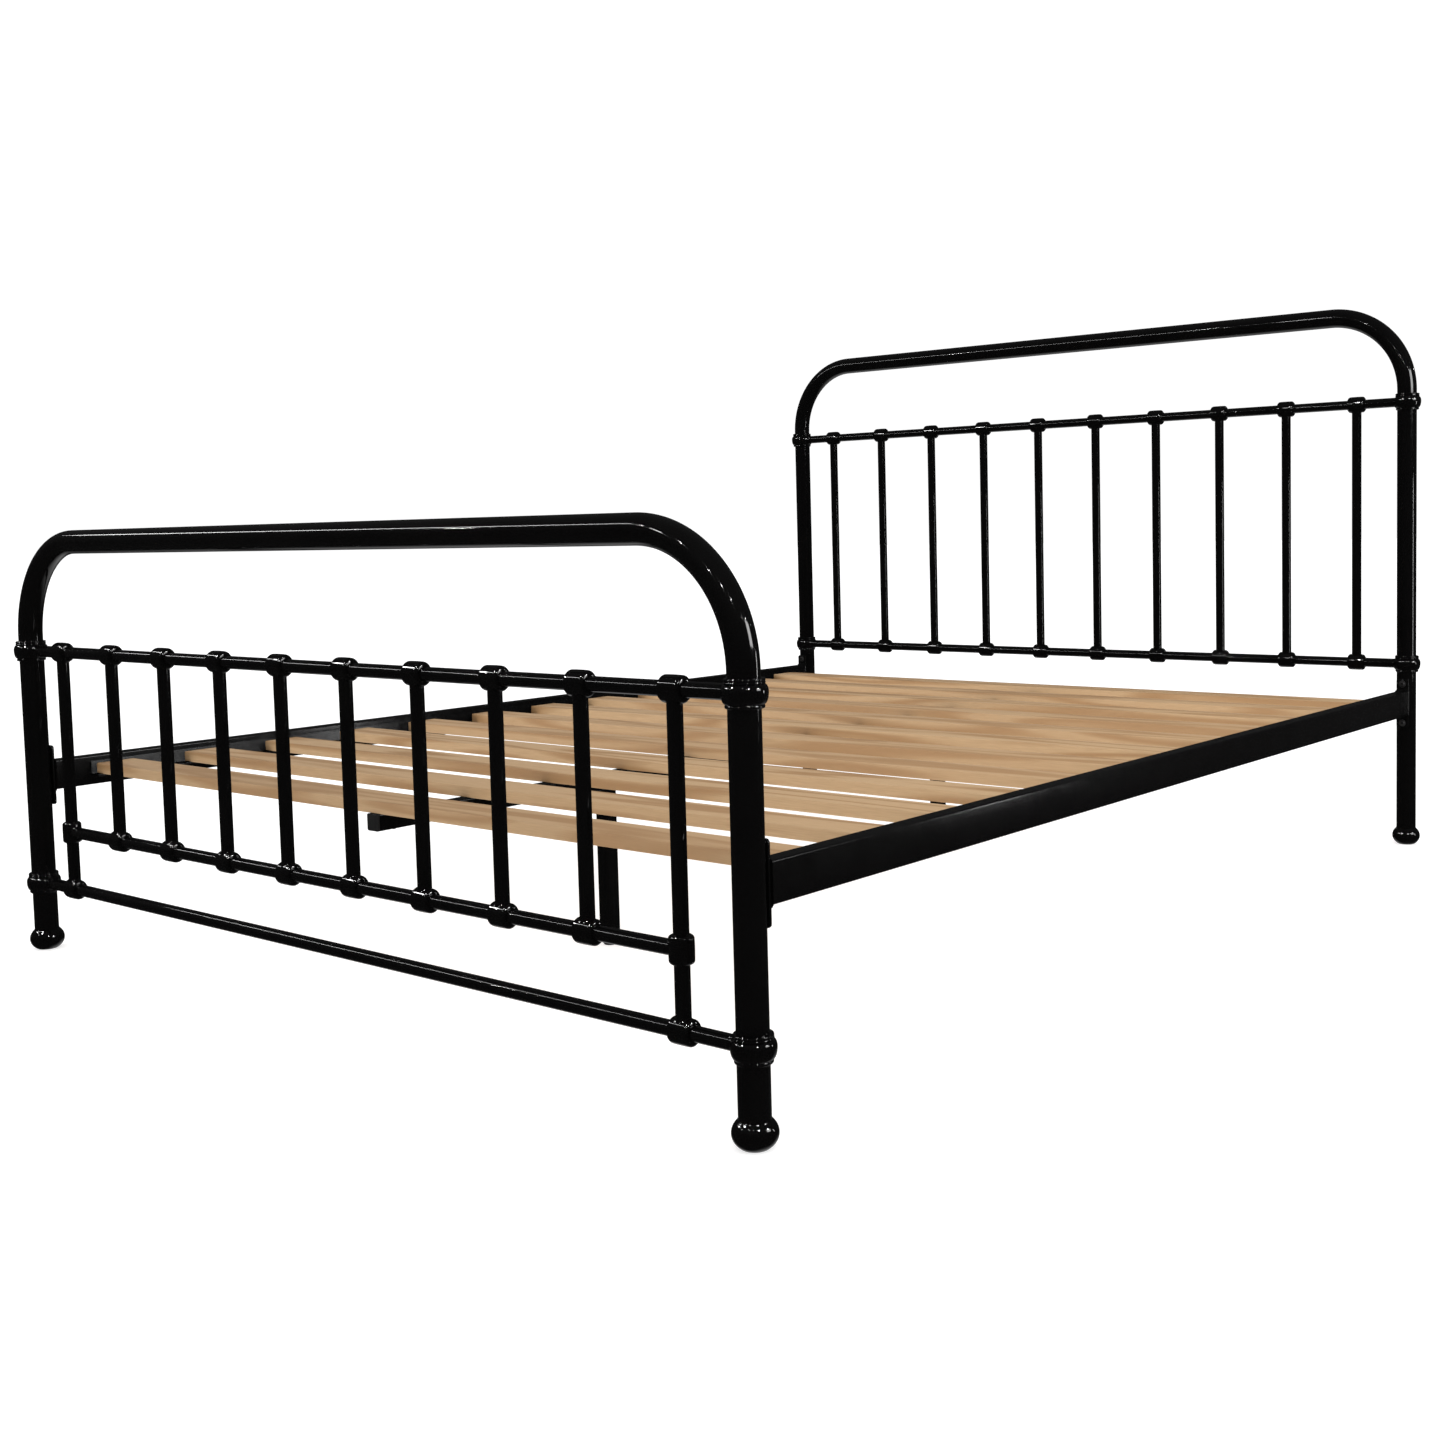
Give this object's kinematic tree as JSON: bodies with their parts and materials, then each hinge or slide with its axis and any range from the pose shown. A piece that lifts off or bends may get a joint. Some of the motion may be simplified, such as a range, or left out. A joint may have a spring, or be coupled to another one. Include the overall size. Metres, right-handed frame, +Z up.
{
  "type": "metal bed frame",
  "caption": "Bed frame with a bent-tube headboard and footboard, vertical spindles in cast knuckles, ball feet, side rails, slats and a centre beam on legs.",
  "frame": {"origin": "on the floor, in the middle of the bed's length and width", "axes": "+X across the bed to the right seen from the footboard, +Y from the footboard to the headboard, +Z up"},
  "size_m": [1.634, 2.1236, 1.107],
  "materials": {
    "black_enamel_tube": "gloss",
    "black_enamel_casting": "gloss",
    "black_enamel_rail": "gloss",
    "black_bolt": "satin",
    "zinc_steel": "satin",
    "pine": "planed, unvarnished",
    "black_plastic": "matte"
  },
  "bodies": {
    "frame": {"footboard_hoop": "black_enamel_tube", "footboard_upper_rail": "black_enamel_tube", "footboard_lower_rail": "black_enamel_tube", "footboard_bottom_rail": "black_enamel_tube", "footboard_spindle_01": "black_enamel_tube", "footboard_spindle_02": "black_enamel_tube", "footboard_spindle_03": "black_enamel_tube", "footboard_spindle_04": "black_enamel_tube", "footboard_spindle_05": "black_enamel_tube", "footboard_spindle_06": "black_enamel_tube", "footboard_spindle_07": "black_enamel_tube", "footboard_spindle_08": "black_enamel_tube", "footboard_spindle_09": "black_enamel_tube", "footboard_spindle_10": "black_enamel_tube", "headboard_hoop": "black_enamel_tube", "headboard_upper_rail": "black_enamel_tube", "headboard_lower_rail": "black_enamel_tube", "headboard_spindle_01": "black_enamel_tube", "headboard_spindle_02": "black_enamel_tube", "headboard_spindle_03": "black_enamel_tube", "headboard_spindle_04": "black_enamel_tube", "headboard_spindle_05": "black_enamel_tube", "headboard_spindle_06": "black_enamel_tube", "headboard_spindle_07": "black_enamel_tube", "headboard_spindle_08": "black_enamel_tube", "headboard_spindle_09": "black_enamel_tube", "headboard_spindle_10": "black_enamel_tube", "footboard_upper_knuckles": "black_enamel_casting", "footboard_lower_knuckles": "black_enamel_casting", "footboard_outer_knuckles": "black_enamel_casting", "footboard_bottom_knuckles": "black_enamel_casting", "footboard_post_collars": "black_enamel_casting", "footboard_ball_feet": "black_enamel_casting", "headboard_upper_knuckles": "black_enamel_casting", "headboard_lower_knuckles": "black_enamel_casting", "headboard_post_collars": "black_enamel_casting", "headboard_ball_feet": "black_enamel_casting", "left_side_rail": "black_enamel_rail", "right_side_rail": "black_enamel_rail", "side_rail_end_plates": "black_enamel_rail", "left_slat_ledger": "black_enamel_rail", "right_slat_ledger": "black_enamel_rail", "centre_beam": "black_enamel_rail", "foot_centre_leg": "black_enamel_rail", "head_centre_leg": "black_enamel_rail", "centre_leg_plates": "black_enamel_rail", "rail_bolts": "black_bolt", "centre_leg_bolts": "black_bolt", "post_thread_inserts": "zinc_steel", "ledger_screws": "zinc_steel", "beam_screws": "zinc_steel", "beam_clinch_nuts": "zinc_steel", "bed_slats": "pine", "beam_end_plugs": "black_plastic", "leg_glide_sockets": "black_plastic"},
    "foot_glide": {"foot_leg_glide": "black_plastic"},
    "head_glide": {"head_leg_glide": "black_plastic"}
  },
  "joints": [
    {"name": "foot_glide_screw", "type": "slide", "parent": "frame", "child": "foot_glide", "axis": [0, 0, -1], "range_m": [0, 0.012]},
    {"name": "head_glide_screw", "type": "slide", "parent": "frame", "child": "head_glide", "axis": [0, 0, -1], "range_m": [0, 0.012]}
  ]
}
